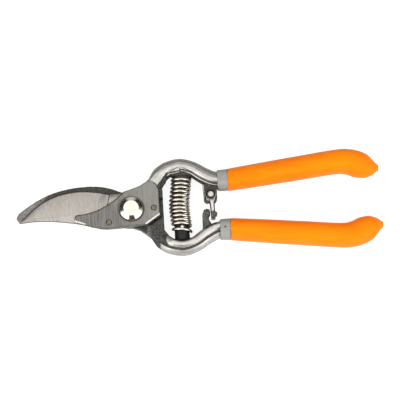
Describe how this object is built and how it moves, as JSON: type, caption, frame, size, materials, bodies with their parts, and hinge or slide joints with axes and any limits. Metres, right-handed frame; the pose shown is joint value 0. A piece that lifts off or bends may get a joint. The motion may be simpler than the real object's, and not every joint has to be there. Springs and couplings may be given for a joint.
{
  "type": "bypass hand shears",
  "caption": "Drop-forged bypass hand shears with a riveted cutting blade, hooked counter blade, coil return spring, swinging catch and dipped grips, lying closed.",
  "frame": {"origin": "on the pivot axis, in the plane of the pivot nut's outer face, which is the surface the shears lie on", "axes": "+X from the pivot towards the handles, +Y towards the blade handle, +Z along the pivot towards the bolt's head"},
  "size_m": [0.2085, 0.0572, 0.0188],
  "materials": {
    "forged_steel": "belt-ground and tumbled drop forging, darker in the recesses",
    "blade_steel": "cross-ground blade steel",
    "rivet_steel": "flush, slightly oxidised",
    "bright_nickel": "bright nickel plating",
    "spring_wire": "nickel-plated spring wire",
    "black_oxide": "black oxide, oiled",
    "grey_dip": "matt grey dip coat",
    "orange_dip": "satin soft vinyl dip coat"
  },
  "bodies": {
    "blade_half": {"blade_handle": "forged_steel", "cutting_blade": "blade_steel", "front_rivet": "rivet_steel", "rear_rivet": "rivet_steel", "pivot_bolt": "bright_nickel", "lock_washer": "bright_nickel", "pivot_nut": "bright_nickel", "return_spring": "spring_wire", "catch_rivet": "bright_nickel", "catch_washer": "bright_nickel", "upper_collar": "grey_dip", "upper_grip": "orange_dip"},
    "hook_half": {"hook_handle": "forged_steel", "spring_pin": "black_oxide", "lower_collar": "grey_dip", "lower_grip": "orange_dip"},
    "catch": {"catch_lever": "bright_nickel"}
  },
  "joints": [
    {"name": "pivot", "type": "hinge", "parent": "blade_half", "child": "hook_half", "pos_m": [0, 0, 0], "axis": [0, 0, -1], "range_deg": [0, 30], "stiffness_Nm_per_rad": 1.5, "springref_deg": 45.26, "deforming": ["return_spring"]},
    {"name": "catch_pivot", "type": "hinge", "parent": "blade_half", "child": "catch", "pos_m": [0.0454, 0.0063, 0.012], "axis": [0, 0, 1], "range_deg": [-3.5, 65]}
  ]
}
